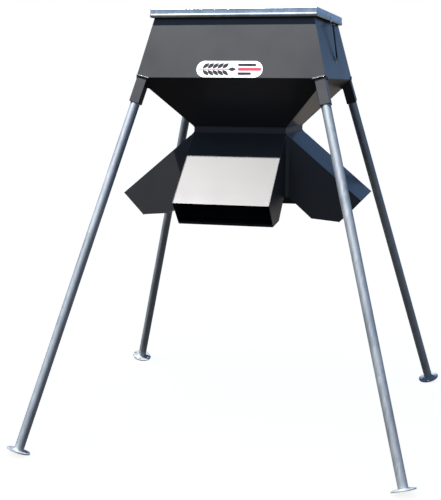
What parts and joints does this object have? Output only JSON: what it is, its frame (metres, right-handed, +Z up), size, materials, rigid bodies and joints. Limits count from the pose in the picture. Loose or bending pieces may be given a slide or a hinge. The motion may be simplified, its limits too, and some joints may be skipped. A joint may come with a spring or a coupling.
{
  "type": "gravity stand feeder",
  "caption": "Raised game feeder: square black hopper with a lift-off galvanised lid, a plus-shaped head of sloping feed chutes and splayed tube legs on round foot discs.",
  "frame": {"origin": "on the ground, under the middle of the hopper", "axes": "+Z up, -Y the front with the name plate, +X the right-hand side"},
  "size_m": [1.7082, 1.7082, 1.87],
  "materials": {
    "black_powder_coat": "satin black powder coat on bent and welded steel sheet",
    "galvanised_sheet": "hot-dip galvanised sheet with spangle",
    "galvanised_tube": "galvanised steel tube, dull zinc",
    "galvanised_plate": "hot-dip galvanised plate",
    "zinc_hardware": "zinc plated",
    "strap_rubber": "moulded black rubber",
    "white_label": "white printed label film"
  },
  "bodies": {
    "frame": {"hopper_front_panel": "black_powder_coat", "hopper_right_panel": "black_powder_coat", "hopper_rear_panel": "black_powder_coat", "hopper_left_panel": "black_powder_coat", "hopper_rim": "black_powder_coat", "neck_band": "black_powder_coat", "name_plate": "white_label", "strap_anchor_right": "zinc_hardware", "strap_anchor_left": "zinc_hardware", "strap_pins": "zinc_hardware", "head_front_right_side": "black_powder_coat", "head_rear_right_side": "black_powder_coat", "head_rear_left_side": "black_powder_coat", "head_front_left_side": "black_powder_coat", "chute_front_roof": "black_powder_coat", "chute_front_floor": "black_powder_coat", "front_gate_baffle": "black_powder_coat", "chute_right_roof": "black_powder_coat", "chute_right_floor": "black_powder_coat", "right_gate_baffle": "black_powder_coat", "chute_rear_roof": "black_powder_coat", "chute_rear_floor": "black_powder_coat", "rear_gate_baffle": "black_powder_coat", "chute_left_roof": "black_powder_coat", "chute_left_floor": "black_powder_coat", "left_gate_baffle": "black_powder_coat", "gate_studs": "zinc_hardware", "feed_diverter": "black_powder_coat", "front_right_leg_socket": "black_powder_coat", "front_right_socket_cap": "black_powder_coat", "front_right_leg": "galvanised_tube", "front_right_foot_disc": "galvanised_plate", "rear_right_leg_socket": "black_powder_coat", "rear_right_socket_cap": "black_powder_coat", "rear_right_leg": "galvanised_tube", "rear_right_foot_disc": "galvanised_plate", "rear_left_leg_socket": "black_powder_coat", "rear_left_socket_cap": "black_powder_coat", "rear_left_leg": "galvanised_tube", "rear_left_foot_disc": "galvanised_plate", "front_left_leg_socket": "black_powder_coat", "front_left_socket_cap": "black_powder_coat", "front_left_leg": "galvanised_tube", "front_left_foot_disc": "galvanised_plate", "leg_set_nuts": "zinc_hardware", "leg_set_bolts": "zinc_hardware"},
    "lid": {"lid": "galvanised_sheet", "lid_keeper_right": "galvanised_sheet", "lid_keeper_left": "galvanised_sheet"},
    "right_strap": {"strap_right": "strap_rubber"},
    "left_strap": {"strap_left": "strap_rubber"},
    "front_gate": {"front_flow_gate": "zinc_hardware"},
    "front_nut": {"front_wing_nut": "zinc_hardware"},
    "right_gate": {"right_flow_gate": "zinc_hardware"},
    "right_nut": {"right_wing_nut": "zinc_hardware"},
    "rear_gate": {"rear_flow_gate": "zinc_hardware"},
    "rear_nut": {"rear_wing_nut": "zinc_hardware"},
    "left_gate": {"left_flow_gate": "zinc_hardware"},
    "left_nut": {"left_wing_nut": "zinc_hardware"}
  },
  "joints": [
    {"name": "lid_lift", "type": "slide", "parent": "frame", "child": "lid", "axis": [0, 0, 1], "range_m": [0, 0.06]},
    {"name": "right_strap_swing", "type": "hinge", "parent": "frame", "child": "right_strap", "pos_m": [0.39248, 0, 1.66633], "axis": [0, 1, 0], "range_deg": [0, 150]},
    {"name": "left_strap_swing", "type": "hinge", "parent": "frame", "child": "left_strap", "pos_m": [-0.39248, 0, 1.66633], "axis": [0, -1, 0], "range_deg": [0, 150]},
    {"name": "front_gate_slide", "type": "slide", "parent": "frame", "child": "front_gate", "axis": [0, 0, 1], "range_m": [-0.025, 0.035]},
    {"name": "front_nut_spin", "type": "hinge", "parent": "frame", "child": "front_nut", "pos_m": [0, -0.3096, 1.1125], "axis": [0, -1, 0], "continuous": true},
    {"name": "right_gate_slide", "type": "slide", "parent": "frame", "child": "right_gate", "axis": [0, 0, 1], "range_m": [-0.025, 0.035]},
    {"name": "right_nut_spin", "type": "hinge", "parent": "frame", "child": "right_nut", "pos_m": [0.3096, 0, 1.1125], "axis": [1, 0, 0], "continuous": true},
    {"name": "rear_gate_slide", "type": "slide", "parent": "frame", "child": "rear_gate", "axis": [0, 0, 1], "range_m": [-0.025, 0.035]},
    {"name": "rear_nut_spin", "type": "hinge", "parent": "frame", "child": "rear_nut", "pos_m": [0, 0.3096, 1.1125], "axis": [0, 1, 0], "continuous": true},
    {"name": "left_gate_slide", "type": "slide", "parent": "frame", "child": "left_gate", "axis": [0, 0, 1], "range_m": [-0.025, 0.035]},
    {"name": "left_nut_spin", "type": "hinge", "parent": "frame", "child": "left_nut", "pos_m": [-0.3096, 0, 1.1125], "axis": [-1, 0, 0], "continuous": true}
  ],
  "couplings": [
    {"joint": "right_strap_swing", "follows": "lid_lift", "rad_per_m": 43.633},
    {"joint": "left_strap_swing", "follows": "lid_lift", "rad_per_m": 43.633}
  ]
}
